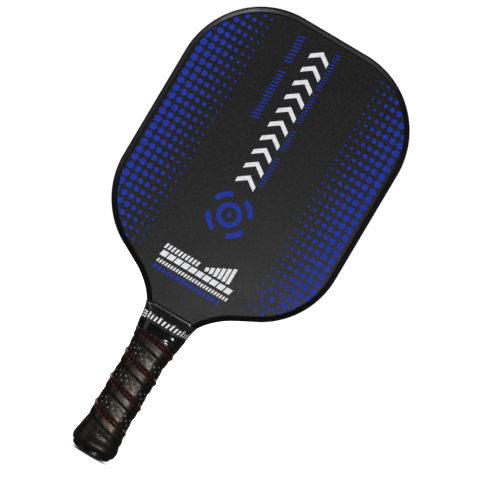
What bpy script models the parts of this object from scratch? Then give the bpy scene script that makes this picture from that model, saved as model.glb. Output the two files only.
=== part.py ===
"""Pickleball paddle: a bonded honeycomb panel with an edge guard, a handle of two glued scales,
a stapled butt cap and a helically wound, stitched grip.

The paddle stands upright on its butt: +Z runs from the butt to the top of the head, the front
face looks along -Y, and +X is to the right of somebody who looks at the front face. The origin
is the centre of the flat butt end. Lengths are in metres.
"""

import math

import bmesh
import bpy
import numpy as np
from mathutils import Matrix, Vector

MM = 0.001
GLUE_GAP = 0.3 * MM  # room for the adhesive film between bonded pieces

# Head outline: straight runs joined by arcs, the same on the left and on the right.
PADDLE_LENGTH = 400.0 * MM
PADDLE_WIDTH = 203.2 * MM
CORNER_RADIUS = 71.7 * MM
SIDE_STRAIGHT = 100.5 * MM
SHOULDER_TURN = 61.8
SHOULDER_STRAIGHT = 18.5 * MM
THROAT_RADIUS = 67.0 * MM
THROAT_TURN = 21.8
NECK_RADIUS = 29.6 * MM
NECK_TURN = 32.0
HANDLE_TAPER_END = 94.0 * MM  # below this height the handle has straight sides
DEGREES_PER_FACET = 7.5
NECK_MARGIN = 10.0 * MM  # how far above the guard's ends the neck's widths are needed
SHORTEST_LAYER = 0.5 * MM  # nearer heights along the neck share one ring
WELD_DISTANCE = 0.01 * MM
CURVE_WELD_DISTANCE = 0.001 * MM
SMOOTH_ANGLE = 30

# Panel: core, scrims and face sheets, from the middle plane outwards.
CORE_THICKNESS = 11.1 * MM
SCRIM_THICKNESS = 0.3 * MM
SHEET_THICKNESS = 0.5 * MM
CELL_PITCH = 18.0 * MM
CELL_WALL = 1.0 * MM
CORE_RIM = 1.2 * MM
CELL_CENTRE_MARGIN = 4.0 * MM  # a cell with its centre nearer to the core's edge stays solid

# Edge guard: a U channel that laps onto both faces.
GUARD_LIP = 4.9 * MM
GUARD_WEB = 1.6 * MM
GUARD_LIP_THICKNESS = 1.1 * MM
GUARD_END_HEIGHT = 134.9 * MM

# Handle: an octagon made of the panel's tongue and two scales.
HANDLE_HALF_DEPTH = 12.8 * MM
HANDLE_FILLET = 2.5 * MM
SIDE_FLAT_HALF = 7.4 * MM  # the octagon's side flats reach this far before their fillets
SCALE_BASE_INSET = 0.4 * MM
HANDLE_BOTTOM = 4.6 * MM
SHOULDER_START = 127.5 * MM
SHOULDER_END = 134.2 * MM
SHOULDER_HALF_DEPTH = 8.35 * MM
SIDE_COUNT = 8
POINTS_PER_CORNER = 2

# Collar and finishing tape round the top of the handle.
COLLAR_BOTTOM = 120.4 * MM
COLLAR_TOP = 134.6 * MM
COLLAR_THICKNESS = 2.1 * MM
COLLAR_TOP_THICKNESS = 1.7 * MM
TAPE_BOTTOM = 111.0 * MM
TAPE_TOP = 120.1 * MM
TAPE_THICKNESS = 0.5 * MM

# Butt cap: height above the butt end, and how far the wall stands out from the handle.
CAP_FLOOR_TOP = 4.3 * MM
CAP_DISC = [(0.0, -0.4), (0.8, 0.5), (2.0, 1.3), (3.2, 2.1), (4.2, 2.7), (5.0, 3.1)]
CAP_SKIRT = [(5.0, 1.3), (8.0, 2.2), (11.5, 2.9), (15.0, 2.4), (18.0, 1.8), (20.0, 1.2)]

# Grip: a strip wound round the handle, each turn lapping the turn below.
GRIP_PITCH = 24.6 * MM
GRIP_THICKNESS = 2.0 * MM
GRIP_REST = [(5.0, 1.6), (8.0, 2.5), (11.5, 3.25), (15.0, 2.8), (18.0, 2.2), (21.0, 1.6), (33.0, 0.0)]
GRIP_BOTTOM = 5.3 * MM
GRIP_TOP = 118.0 * MM
LAP_LENGTH = 3.0 * MM
LAP_GAP = 0.6 * MM
SHORTEST_END = 2.5 * MM  # width left at the strip's two slanting ends
TURNS_UP = 4
TURNS_DOWN = 4

# Rib down the middle of the strip, the bead that raises it and the thread on both sides of it.
RIB_AT_FRONT = 35.0 * MM  # height of the lowest full rib at the middle of the front
RIB_SWAY = 0.45 * MM  # how far the rib leaves a true helix on each turn
RIB_ABOVE_EDGE = 9.9 * MM
RIB_HEIGHT = 1.0 * MM
RIB_TOP_HALF = 0.8 * MM
RIB_BASE_HALF = 1.5 * MM
RIB_START = 26.0 * MM
RIB_END = 107.0 * MM
RIB_FADE = 3.0 * MM
GROOVE_DEPTH = 1.7 * MM
GROOVE_TOP_HALF = 0.75 * MM
GROOVE_BASE_HALF = 1.25 * MM
BEAD_HEIGHT = 1.4 * MM
BEAD_TOP_HALF = 0.45 * MM
BEAD_BASE_HALF = 0.9 * MM
STITCH_OFFSET = 2.05 * MM
STITCH_LIFT = 0.1 * MM
STITCH_HEIGHT = 0.35 * MM
STITCH_TOP_HALF = 0.2 * MM
STITCH_BASE_HALF = 0.25 * MM

# Staples that hold the cap.
STAPLE_WIRE_RADIUS = 0.45 * MM
STAPLE_HALF_WIDTH = 4.5 * MM
STAPLE_HEIGHT = 18.0 * MM
STAPLE_CROWN_DEPTH = 14.1 * MM
STAPLE_LEG_DEPTH = 8.8 * MM
STAPLE_CLEARANCE = 0.3 * MM
STAPLE_BEND = 1.0 * MM

COLOURS = {
    "honeycomb_core": ((0.82, 0.84, 0.84), 0.5),
    "front_core_scrim": ((0.85, 0.85, 0.82), 0.9),
    "back_core_scrim": ((0.85, 0.85, 0.82), 0.9),
    "front_face_sheet": ((0.028, 0.028, 0.030), 0.55),
    "back_face_sheet": ((0.028, 0.028, 0.030), 0.55),
    "edge_guard": ((0.018, 0.018, 0.018), 0.4),
    "front_handle_scale": ((0.55, 0.47, 0.33), 0.8),
    "back_handle_scale": ((0.55, 0.47, 0.33), 0.8),
    "butt_cap": ((0.008, 0.008, 0.008), 0.25),
    "front_cap_staple": ((0.62, 0.62, 0.60), 0.3),
    "back_cap_staple": ((0.62, 0.62, 0.60), 0.3),
    "grip_strip": ((0.016, 0.015, 0.014), 0.5),
    "grip_bead": ((0.05, 0.05, 0.05), 0.9),
    "upper_stitch_thread": ((0.22, 0.004, 0.02), 0.6),
    "lower_stitch_thread": ((0.22, 0.004, 0.02), 0.6),
    "finishing_tape": ((0.008, 0.008, 0.008), 0.15),
    "collar_band": ((0.010, 0.010, 0.011), 0.3),
}
METALS = ("front_cap_staple", "back_cap_staple")

PANEL_INSET = GUARD_WEB + GLUE_GAP
SCRIM_CENTRE = CORE_THICKNESS / 2 + GLUE_GAP + SCRIM_THICKNESS / 2
SHEET_CENTRE = SCRIM_CENTRE + SCRIM_THICKNESS / 2 + GLUE_GAP + SHEET_THICKNESS / 2
PANEL_HALF = SHEET_CENTRE + SHEET_THICKNESS / 2
SCALE_INNER = PANEL_HALF + GLUE_GAP


# Scene and object helpers

def clear_scene():
    for obj in list(bpy.data.objects):
        bpy.data.objects.remove(obj, do_unlink=True)


def new_collection(name, hidden=False):
    collection = bpy.data.collections.new(name)
    bpy.context.scene.collection.children.link(collection)
    collection.hide_render = hidden
    return collection


def material_for(name):
    colour, roughness = COLOURS[name]
    material = bpy.data.materials.new(name)
    material.use_nodes = True
    shader = material.node_tree.nodes["Principled BSDF"]
    shader.inputs["Base Color"].default_value = (*colour, 1.0)
    shader.inputs["Roughness"].default_value = roughness
    shader.inputs["Metallic"].default_value = 1.0 if name in METALS else 0.0
    return material


def add_part(name, data, smooth_angle=None):
    """Put the mesh or curve in the paddle's collection under its part name."""
    obj = bpy.data.objects.new(name, data)
    PARTS.objects.link(obj)
    obj.parent = ORIGIN
    obj.data.materials.append(material_for(name))
    if smooth_angle is not None:
        data.shade_smooth()
        data.set_sharp_from_angle(angle=math.radians(smooth_angle))
    return obj


def add_cutter(name, mesh):
    obj = bpy.data.objects.new(name, mesh)
    CUTTERS.objects.link(obj)
    obj.hide_render = True
    obj.display_type = "WIRE"
    return obj


def cut(obj, cutter):
    modifier = obj.modifiers.new("cut_" + cutter.name, "BOOLEAN")
    modifier.operation = "DIFFERENCE"
    modifier.object = cutter


def mesh_of_curve(curve, matrix):
    """The solid that a curve makes, as a mesh in the paddle's frame with its caps welded."""
    helper = bpy.data.objects.new("curve_helper", curve)
    CUTTERS.objects.link(helper)
    helper.matrix_world = matrix
    bpy.context.view_layer.update()
    graph = bpy.context.evaluated_depsgraph_get()
    mesh = bpy.data.meshes.new_from_object(helper.evaluated_get(graph))
    mesh.transform(helper.matrix_world)
    bpy.data.objects.remove(helper)
    solid = bmesh.new()
    solid.from_mesh(mesh)
    bmesh.ops.remove_doubles(solid, verts=solid.verts, dist=CURVE_WELD_DISTANCE)
    bmesh.ops.recalc_face_normals(solid, faces=solid.faces)
    solid.to_mesh(mesh)
    solid.free()
    return mesh


def poly_spline(curve, points, closed):
    spline = curve.splines.new("POLY")
    spline.points.add(len(points) - 1)
    for control, point in zip(spline.points, points):
        control.co = (*point, 1.0)
    spline.use_cyclic_u = closed
    return spline


def loft(name, rings, closed_path=False, smooth_angle=SMOOTH_ANGLE):
    """Join rings of points, each ring closed, into one solid. An open path gets end faces."""
    solid = bmesh.new()
    rows = [[solid.verts.new(point) for point in ring] for ring in rings]
    following = rows[1:] + rows[:1] if closed_path else rows[1:]
    for row, after in zip(rows, following):
        for i in range(len(row)):
            k = (i + 1) % len(row)
            solid.faces.new((row[i], row[k], after[k], after[i]))
    if not closed_path:
        solid.faces.new(rows[0])
        solid.faces.new(rows[-1])
    bmesh.ops.remove_doubles(solid, verts=solid.verts, dist=WELD_DISTANCE)
    bmesh.ops.dissolve_degenerate(solid, edges=solid.edges, dist=CURVE_WELD_DISTANCE)
    bmesh.ops.recalc_face_normals(solid, faces=solid.faces)
    mesh = bpy.data.meshes.new(name)
    solid.to_mesh(mesh)
    solid.free()
    return add_part(name, mesh, smooth_angle)


# Head and panel outline

def outline_half(inset):
    """Right half of the outline, moved inwards, as (x, z) from the top's middle to the butt."""
    point = Vector((0.0, PADDLE_LENGTH - inset))
    heading = 90.0
    moves = [
        ("line", PADDLE_WIDTH / 2 - CORNER_RADIUS, 0.0),
        ("arc", CORNER_RADIUS - inset, 90.0),
        ("line", SIDE_STRAIGHT, 0.0),
        ("arc", CORNER_RADIUS - inset, SHOULDER_TURN),
        ("line", SHOULDER_STRAIGHT, 0.0),
        ("arc", THROAT_RADIUS + inset, -THROAT_TURN),
        ("arc", NECK_RADIUS + inset, -NECK_TURN),
    ]
    points = [tuple(point)]
    for kind, size, turn in moves:
        steps = 1 if kind == "line" else round(abs(turn) / DEGREES_PER_FACET)
        step_turn = turn / steps
        chord = size if kind == "line" else 2 * size * math.sin(math.radians(abs(step_turn)) / 2)
        for _ in range(steps):
            heading += step_turn / 2
            direction = Vector((math.sin(math.radians(heading)), math.cos(math.radians(heading))))
            point = point + chord * direction
            heading += step_turn / 2
            points.append(tuple(point))
    taper = math.tan(math.radians(heading - 180.0))
    x, z = points[-1]
    points.append((x - taper * (z - HANDLE_TAPER_END), HANDLE_TAPER_END))
    points.append((points[-1][0], HANDLE_BOTTOM))
    return points


def closed_outline(inset):
    right = outline_half(inset)
    left = [(-x, z) for x, z in reversed(right[1:])]
    return right + left


def half_width_at(z):
    """Half width of the panel below the head, where the handle and the collar are."""
    highest = GUARD_END_HEIGHT + NECK_MARGIN
    neck = [(height, x) for x, height in outline_half(PANEL_INSET) if height < highest]
    heights, widths = zip(*sorted(neck))
    return float(np.interp(z, heights, widths))


def upright(y):
    """Turns a flat curve's plane upright, so that its second axis is +Z, and moves it to y."""
    return Matrix.Translation((0.0, y, 0.0)) @ Matrix.Rotation(math.radians(90), 4, "X")


def slab_mesh(name, inset, centre, thickness):
    curve = bpy.data.curves.new(name, "CURVE")
    curve.dimensions = "2D"
    curve.fill_mode = "BOTH"
    curve.extrude = thickness / 2
    poly_spline(curve, [(x, z, 0.0) for x, z in closed_outline(inset)], closed=True)
    mesh = mesh_of_curve(curve, upright(centre))
    mesh.name = name
    return mesh


def panel_layer(name, centre, thickness):
    return add_part(name, slab_mesh(name, PANEL_INSET, centre, thickness))


# Honeycomb

def distance_to_outline(point, corners):
    """How far a point is from the nearest side of a closed outline; negative outside it."""
    ends = np.roll(corners, -1, axis=0)
    along = ends - corners
    share = np.clip(((point - corners) * along).sum(1) / (along**2).sum(1), 0, 1)
    nearest = np.hypot(*(corners + share[:, None] * along - point).T).min()
    crosses = (corners[:, 1] > point[1]) != (ends[:, 1] > point[1])
    rise = np.where(along[:, 1] == 0, 1.0, along[:, 1])
    at_x = corners[:, 0] + (point[1] - corners[:, 1]) * along[:, 0] / rise
    inside = np.count_nonzero(crosses & (at_x > point[0])) % 2 == 1
    return nearest if inside else -nearest


def cell_centres():
    corners = np.array(closed_outline(PANEL_INSET))
    row_height = CELL_PITCH * math.sqrt(3) / 2
    rows = int(PADDLE_LENGTH / row_height) + 1
    columns = int(PADDLE_WIDTH / CELL_PITCH / 2) + 1
    for row in range(rows):
        shift = CELL_PITCH / 2 if row % 2 else 0.0
        for column in range(-columns, columns + 1):
            centre = np.array([column * CELL_PITCH + shift, row * row_height])
            if distance_to_outline(centre, corners) > CELL_CENTRE_MARGIN:
                yield centre


def make_core():
    """A slab with a hexagonal hole for each cell; the cells stop short of the slab's rim."""
    core = panel_layer("honeycomb_core", 0.0, CORE_THICKNESS)
    cells = bmesh.new()
    cell_radius = (CELL_PITCH - CELL_WALL) / math.sqrt(3)
    lying = Matrix.Rotation(math.radians(90), 4, "X")
    for x, z in cell_centres():
        bmesh.ops.create_cone(
            cells,
            cap_ends=True,
            segments=6,
            radius1=cell_radius,
            radius2=cell_radius,
            depth=2 * CORE_THICKNESS,
            matrix=Matrix.Translation((x, 0.0, z)) @ lying,
        )
    mesh = bpy.data.meshes.new("honeycomb_cells")
    cells.to_mesh(mesh)
    cells.free()
    cutter = add_cutter("honeycomb_cells", mesh)
    bound = slab_mesh("cell_bound", PANEL_INSET + CORE_RIM, 0.0, 1.5 * CORE_THICKNESS)
    trim = cutter.modifiers.new("trim_at_rim", "BOOLEAN")
    trim.operation = "INTERSECT"
    trim.object = add_cutter("cell_bound", bound)
    cut(core, cutter)


def make_panel():
    make_core()
    panel_layer("front_core_scrim", -SCRIM_CENTRE, SCRIM_THICKNESS)
    panel_layer("back_core_scrim", SCRIM_CENTRE, SCRIM_THICKNESS)
    panel_layer("front_face_sheet", -SHEET_CENTRE, SHEET_THICKNESS)
    panel_layer("back_face_sheet", SHEET_CENTRE, SHEET_THICKNESS)


# Edge guard

def guard_section():
    """U section as (inset from the outline, distance from the middle plane)."""
    inner = PANEL_HALF + GLUE_GAP
    outer = inner + GUARD_LIP_THICKNESS
    upper = [
        (GUARD_WEB, inner),
        (GUARD_LIP, inner),
        (GUARD_LIP, inner + 0.5 * GUARD_LIP_THICKNESS),
        (GUARD_LIP - 0.8 * MM, outer),
        (1.9 * MM, outer),
        (0.7 * MM, outer - 0.7 * MM),
        (0.0, outer - 2.4 * MM),
    ]
    lower = [(inset, -y) for inset, y in reversed(upper)]
    return upper + lower


def make_guard():
    """Sweep the U section along the head outline, then cut both ends level at the throat."""
    right = [point for point in outline_half(0.0) if point[1] > HANDLE_TAPER_END]
    path = np.array([(-x, z) for x, z in reversed(right[1:])] + right)
    tangents = np.gradient(path, axis=0)
    tangents /= np.linalg.norm(tangents, axis=1)[:, None]
    rings = []
    for (x, z), (tangent_x, tangent_z) in zip(path, tangents):
        inward_x, inward_z = tangent_z, -tangent_x
        rings.append([(x + inset * inward_x, y, z + inset * inward_z) for inset, y in guard_section()])
    guard = loft("edge_guard", rings)
    solid = bmesh.new()
    solid.from_mesh(guard.data)
    everything = list(solid.verts) + list(solid.edges) + list(solid.faces)
    level = (0.0, 0.0, GUARD_END_HEIGHT)
    bmesh.ops.bisect_plane(solid, geom=everything, plane_co=level, plane_no=(0, 0, 1), clear_inner=True)
    open_edges = [edge for edge in solid.edges if edge.is_boundary]
    bmesh.ops.holes_fill(solid, edges=open_edges)
    bmesh.ops.recalc_face_normals(solid, faces=solid.faces)
    solid.to_mesh(guard.data)
    solid.free()
    guard.data.set_sharp_from_angle(angle=math.radians(SMOOTH_ANGLE))


# Handle octagon

def half_depth_at(z):
    heights = (SHOULDER_START, SHOULDER_END)
    return float(np.interp(z, heights, (HANDLE_HALF_DEPTH, SHOULDER_HALF_DEPTH)))


def corner_points(z, offset, corner):
    """Points round one corner of the octagon at height z, moved outwards by offset."""
    half_x, half_y = half_width_at(z), half_depth_at(z)
    chamfer = half_y - SIDE_FLAT_HALF
    fillet = min(HANDLE_FILLET, 1.5 * chamfer)
    diagonal = (half_x + half_y - chamfer) / math.sqrt(2)
    reach = [half_x, diagonal, half_y, diagonal] * 2
    angles = [math.radians(45 * (corner + side)) for side in (0, 1)]
    normals = np.array([(math.cos(angle), math.sin(angle)) for angle in angles])
    distances = [reach[(corner + side) % SIDE_COUNT] - fillet for side in (0, 1)]
    centre = np.linalg.solve(normals, distances)
    points = []
    for angle in np.linspace(*angles, POINTS_PER_CORNER):
        points.append(centre + (fillet + offset) * np.array((math.cos(angle), math.sin(angle))))
    return points


def handle_ring(z, offset):
    """The whole octagon at height z as (x, y), anticlockwise from the +X side."""
    return [point for corner in range(SIDE_COUNT) for point in corner_points(z, offset, corner)]


def level_ring(z, offset):
    return [(x, y, z) for x, y in handle_ring(z, offset)]


def neck_heights(low, high):
    """Heights between low and high where the handle's width or depth changes slope."""
    bends = [z for _, z in outline_half(PANEL_INSET)] + [SHOULDER_START, SHOULDER_END]
    between = [z for z in bends if low + SHORTEST_LAYER < z < high - SHORTEST_LAYER]
    return [low] + sorted(between) + [high]


def make_scale(name, side, cutter):
    """One handle scale; side is -1 for the front and +1 for the back."""
    rings = []
    for z in neck_heights(HANDLE_BOTTOM, SHOULDER_END):
        base = half_width_at(z) - SCALE_BASE_INSET
        crown = corner_points(z, 0.0, 1) + corner_points(z, 0.0, 2)
        section = [(base, SCALE_INNER), *crown, (-base, SCALE_INNER)]
        rings.append([(x, side * y, z) for x, y in section])
    cut(loft(name, rings), cutter)


# Butt cap and staples

def make_cap(cutters):
    outside = [level_ring(z * MM, offset * MM) for z, offset in CAP_DISC + CAP_SKIRT]
    skirt_top = CAP_SKIRT[-1][0] * MM
    inside = [level_ring(skirt_top, GLUE_GAP), level_ring(CAP_FLOOR_TOP, GLUE_GAP)]
    cap = loft("butt_cap", outside + inside)
    for cutter in cutters:
        cut(cap, cutter)


def staple_mesh(name, side, radius):
    """A wire staple with its crown across the handle and its two legs pointing inwards."""
    bend = STAPLE_BEND
    crown, tip = side * STAPLE_CROWN_DEPTH, side * STAPLE_LEG_DEPTH
    corner = crown - side * bend
    half = [(STAPLE_HALF_WIDTH, tip)]
    for degrees in range(0, 91, 30):
        angle = math.radians(degrees)
        across = STAPLE_HALF_WIDTH - bend + bend * math.cos(angle)
        half.append((across, corner + side * bend * math.sin(angle)))
    route = half + [(-x, y) for x, y in reversed(half)]
    curve = bpy.data.curves.new(name, "CURVE")
    curve.dimensions = "3D"
    curve.bevel_depth = radius
    curve.bevel_resolution = 2
    curve.use_fill_caps = True
    poly_spline(curve, [(x, y, STAPLE_HEIGHT) for x, y in route], closed=False)
    mesh = mesh_of_curve(curve, Matrix.Identity(4))
    mesh.name = name
    return mesh


def make_cap_and_scales():
    cutters = []
    for name, side in (("front", -1), ("back", 1)):
        staple = staple_mesh(f"{name}_cap_staple", side, STAPLE_WIRE_RADIUS)
        add_part(f"{name}_cap_staple", staple, SMOOTH_ANGLE)
        hole = staple_mesh(f"{name}_staple_hole", side, STAPLE_WIRE_RADIUS + STAPLE_CLEARANCE)
        cutters.append(add_cutter(f"{name}_staple_hole", hole))
        make_scale(f"{name}_handle_scale", side, cutters[-1])
    make_cap(cutters)


# Collar and tape

def sleeve(name, layers):
    """A closed band from (height, inner offset, outer offset) rows, bottom to top."""
    outside = [level_ring(z, outer) for z, _, outer in layers]
    inside = [level_ring(z, inner) for z, inner, _ in reversed(layers)]
    return loft(name, outside + inside, closed_path=True)


def make_collar():
    layers = []
    for z in neck_heights(COLLAR_BOTTOM, COLLAR_TOP):
        heights = (SHOULDER_START, COLLAR_TOP)
        thickness = float(np.interp(z, heights, (COLLAR_THICKNESS, COLLAR_TOP_THICKNESS)))
        layers.append((z, GLUE_GAP, GLUE_GAP + thickness))
    sleeve("collar_band", layers)


def make_tape():
    over_grip = GRIP_THICKNESS + 2 * GLUE_GAP
    layers = [(z, over_grip, over_grip + TAPE_THICKNESS) for z in neck_heights(TAPE_BOTTOM, TAPE_TOP)]
    sleeve("finishing_tape", layers)


# Wound grip

def ring_shares():
    """Share of the handle's girth travelled at each point of the octagon, from the +X side."""
    ring = np.array(handle_ring(HANDLE_TAPER_END, GRIP_THICKNESS))
    sides = np.linalg.norm(np.roll(ring, -1, axis=0) - ring, axis=1)
    return np.concatenate([[0.0], np.cumsum(sides)[:-1]]) / sides.sum()


def grip_rest_at(z):
    """How far the cap's skirt pushes the strip away from the handle at height z."""
    heights, offsets = zip(*GRIP_REST)
    return float(np.interp(z / MM, heights, offsets)) * MM


def rib_rise_at(z):
    """How far the rib stands out of the strip, which fades out at the rib's two ends."""
    heights = (RIB_START, RIB_START + RIB_FADE, RIB_END - RIB_FADE, RIB_END)
    return float(np.interp(z, heights, (0.0, RIB_HEIGHT, RIB_HEIGHT, 0.0)))


def strip_section(rise):
    """Strip section as (height above the rib's middle, distance from the handle's surface)."""
    low, high = -RIB_ABOVE_EDGE, GRIP_PITCH - RIB_ABOVE_EDGE - LAP_GAP
    groove = GROOVE_DEPTH * rise / RIB_HEIGHT
    crest = GRIP_THICKNESS + rise
    outer = [(z, GRIP_THICKNESS) for z in np.linspace(low, -RIB_BASE_HALF, 5)]
    outer += [(-RIB_TOP_HALF, crest), (RIB_TOP_HALF, crest)]
    outer += [(z, GRIP_THICKNESS) for z in np.linspace(RIB_BASE_HALF, high, 5)]
    inner = [(z, 0.0) for z in np.linspace(high + LAP_LENGTH, GROOVE_BASE_HALF, 6)]
    inner += [(GROOVE_TOP_HALF, groove), (-GROOVE_TOP_HALF, groove)]
    inner += [(z, 0.0) for z in np.linspace(-GROOVE_BASE_HALF, low + LAP_LENGTH, 4)]
    return outer + inner


def trapezium(middle, base_half, top_half, base, top):
    return [
        (middle - base_half, base),
        (middle + base_half, base),
        (middle + top_half, top),
        (middle - top_half, top),
    ]


def bead_section(_rise):
    return trapezium(0.0, BEAD_BASE_HALF, BEAD_TOP_HALF, 0.0, BEAD_HEIGHT)


def stitch_section(middle):
    low = GRIP_THICKNESS + STITCH_LIFT
    section = trapezium(middle, STITCH_BASE_HALF, STITCH_TOP_HALF, low, low + STITCH_HEIGHT)
    return lambda _rise: section


def wind(name, section_at, first, last):
    """Sweep a section down the left-handed helix while the rib's height is between two heights."""
    shares = ring_shares()
    count = len(shares)
    front = np.interp(0.75, np.append(shares, 1.0), np.arange(count + 1))
    front_share = np.interp(front, np.arange(count), shares)
    rings = []
    for step in range(-TURNS_UP * count, TURNS_DOWN * count):
        whole_turns, index = divmod(step, count)
        turns = whole_turns + shares[index] - front_share
        rib = RIB_AT_FRONT - GRIP_PITCH * turns - RIB_SWAY * math.sin(2 * math.pi * turns)
        if not first <= rib <= last:
            continue
        ring = []
        for rise, out in section_at(rib_rise_at(rib)):
            z = min(max(rib + rise, GRIP_BOTTOM), GRIP_TOP)
            x, y = handle_ring(z, GLUE_GAP + grip_rest_at(z) + out)[index]
            ring.append((x, y, z))
        rings.append(ring)
    return loft(name, rings)


def make_grip():
    low_end = GRIP_BOTTOM + SHORTEST_END - (GRIP_PITCH - RIB_ABOVE_EDGE)
    high_end = GRIP_TOP - SHORTEST_END + RIB_ABOVE_EDGE - LAP_LENGTH
    wind("grip_strip", strip_section, low_end, high_end)
    rib_low, rib_high = RIB_START + RIB_FADE, RIB_END - RIB_FADE
    wind("grip_bead", bead_section, rib_low, rib_high)
    wind("upper_stitch_thread", stitch_section(STITCH_OFFSET), rib_low, rib_high)
    wind("lower_stitch_thread", stitch_section(-STITCH_OFFSET), rib_low, rib_high)


clear_scene()
PARTS = new_collection("pickleball_paddle")
CUTTERS = new_collection("cutters", hidden=True)
ORIGIN = bpy.data.objects.new("butt_centre", None)
PARTS.objects.link(ORIGIN)

make_panel()
make_guard()
make_cap_and_scales()
make_collar()
make_tape()
make_grip()
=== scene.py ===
"""Looks of the pickleball paddle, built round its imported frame.

The paddle stands on its butt: +Z runs to the top of the head, the front face looks along -Y.
Lengths are in metres. Every piece is modelled in that frame, with its own origin at the frame's.
"""
import math

import bmesh
import bpy
import numpy as np
from mathutils import Matrix, Vector


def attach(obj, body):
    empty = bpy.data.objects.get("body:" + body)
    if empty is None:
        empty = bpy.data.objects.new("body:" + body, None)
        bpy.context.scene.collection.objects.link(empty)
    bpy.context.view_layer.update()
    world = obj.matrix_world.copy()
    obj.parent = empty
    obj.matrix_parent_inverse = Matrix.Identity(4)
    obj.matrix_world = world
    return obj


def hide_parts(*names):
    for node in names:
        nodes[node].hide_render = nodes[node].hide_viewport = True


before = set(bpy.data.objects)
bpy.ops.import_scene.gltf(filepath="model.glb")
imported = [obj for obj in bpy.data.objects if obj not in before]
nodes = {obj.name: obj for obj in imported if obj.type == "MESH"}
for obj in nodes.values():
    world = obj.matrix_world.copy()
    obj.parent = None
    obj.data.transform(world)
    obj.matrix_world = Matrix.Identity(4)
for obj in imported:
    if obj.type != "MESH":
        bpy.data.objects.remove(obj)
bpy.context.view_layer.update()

MM = 0.001
GAP = 0.3 * MM

# The head's outline and the handle's octagon, as the frame has them.
LENGTH = 400.0 * MM
WIDTH = 203.2 * MM
CORNER_RADIUS = 71.7 * MM
OUTLINE_MOVES = (
    ("line", WIDTH / 2 - CORNER_RADIUS, 0.0),
    ("arc", CORNER_RADIUS, 90.0),
    ("line", 100.5 * MM, 0.0),
    ("arc", CORNER_RADIUS, 61.8),
    ("line", 18.5 * MM, 0.0),
    ("arc", 67.0 * MM, -21.8),
    ("arc", 29.6 * MM, -32.0),
)
TAPER_END = 94.0 * MM
HANDLE_BOTTOM = 4.6 * MM
PANEL_INSET = 1.9 * MM
FACE_PLANE = 6.95 * MM
GUARD_END = 134.9 * MM
SHOULDER = (127.5 * MM, 134.2 * MM)
HANDLE_DEPTHS = (12.8 * MM, 8.35 * MM)
SIDE_FLAT_HALF = 7.4 * MM
HANDLE_FILLET = 2.5 * MM
MID_HANDLE = 60.0 * MM
CROWN = 0.35 * MM  # how far a wrapped flat bulges
SOFTENING = 3.4 * MM  # length of girth over which a full wrap rounds off the handle's corners
WRAP_OFFSET = 2.3 * MM


# Pieces

def link(name, data):
    obj = bpy.data.objects.new(name, data)
    bpy.context.scene.collection.objects.link(obj)
    return obj


def piece(name, points, faces, material, replaced=(), smooth_angle=30.0, uv=None):
    """A closed mesh that rides with the paddle. Its faces are turned to look outwards."""
    mesh = bpy.data.meshes.new(name)
    mesh.from_pydata(np.asarray(points, dtype=float).tolist(), [], [list(map(int, face)) for face in faces])
    if uv is not None:
        layer = mesh.uv_layers.new(name="strip")
        index = np.empty(len(mesh.loops), dtype=np.int32)
        mesh.loops.foreach_get("vertex_index", index)
        layer.data.foreach_set("uv", np.asarray(uv, dtype=np.float32)[index].ravel())
    solid = bmesh.new()
    solid.from_mesh(mesh)
    bmesh.ops.recalc_face_normals(solid, faces=solid.faces)
    solid.to_mesh(mesh)
    solid.free()
    mesh.shade_smooth()
    mesh.set_sharp_from_angle(angle=math.radians(smooth_angle))
    mesh.materials.append(material)
    obj = link(name, mesh)
    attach(obj, "root")
    if replaced:
        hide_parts(*replaced)
    return obj


def grid_faces(rows, columns, wrap_rows=False, wrap_columns=False):
    """Quads of a grid of points that may close on itself either way."""
    row, column = np.meshgrid(
        np.arange(rows if wrap_rows else rows - 1),
        np.arange(columns if wrap_columns else columns - 1),
        indexing="ij",
    )
    below, beside = (row + 1) % rows, (column + 1) % columns
    corners = (
        row * columns + column,
        row * columns + beside,
        below * columns + beside,
        below * columns + column,
    )
    return np.stack([corner.ravel() for corner in corners], axis=1).tolist()


def smooth_step(value, low, high):
    share = np.clip((value - low) / (high - low), 0.0, 1.0)
    return share * share * (3 - 2 * share)


RIPPLE_WAVES = 9
RIPPLE_FASTEST = 6.5  # radians for each unit
RIPPLE_PEAK = 1.4  # the sum's usual peak, over the root of RIPPLE_WAVES


def ripple(a, b, seed):
    """Smooth irregular relief between about -1 and 1, with waves near one unit of a and of b."""
    draw = np.random.default_rng(seed)
    total = np.zeros(np.broadcast(a, b).shape)
    for _ in range(RIPPLE_WAVES):
        fa, fb = draw.uniform(-RIPPLE_FASTEST, RIPPLE_FASTEST, 2)
        total += np.sin(a * fa + b * fb + draw.uniform(0, 2 * math.pi))
    return total / math.sqrt(RIPPLE_WAVES) / RIPPLE_PEAK


# Outline of the head

ARC_STEP = 1.5  # degrees


def outline_half(inset):
    """Right half of the outline, moved inwards, as (x, z) rows from the top's middle to the butt."""
    point = np.array([0.0, LENGTH - inset])
    heading = 90.0
    points = [point]
    for kind, size, turn in OUTLINE_MOVES:
        radius = size - math.copysign(inset, turn)
        steps = 1 if kind == "line" else math.ceil(abs(turn) / ARC_STEP)
        step_turn = turn / steps
        chord = size if kind == "line" else 2 * radius * math.sin(math.radians(abs(step_turn)) / 2)
        for _ in range(steps):
            heading += step_turn / 2
            ahead = math.radians(heading)
            point = point + chord * np.array([math.sin(ahead), math.cos(ahead)])
            heading += step_turn / 2
            points.append(point)
    taper = math.tan(math.radians(heading - 180.0))
    low_x = point[0] - taper * (point[1] - TAPER_END)
    points += [np.array([low_x, TAPER_END]), np.array([low_x, HANDLE_BOTTOM])]
    return np.array(points)


def whole_outline(inset):
    right = outline_half(inset)
    return np.vstack([right, right[:0:-1] * (-1, 1)])


EDGE = whole_outline(0.0)


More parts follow.
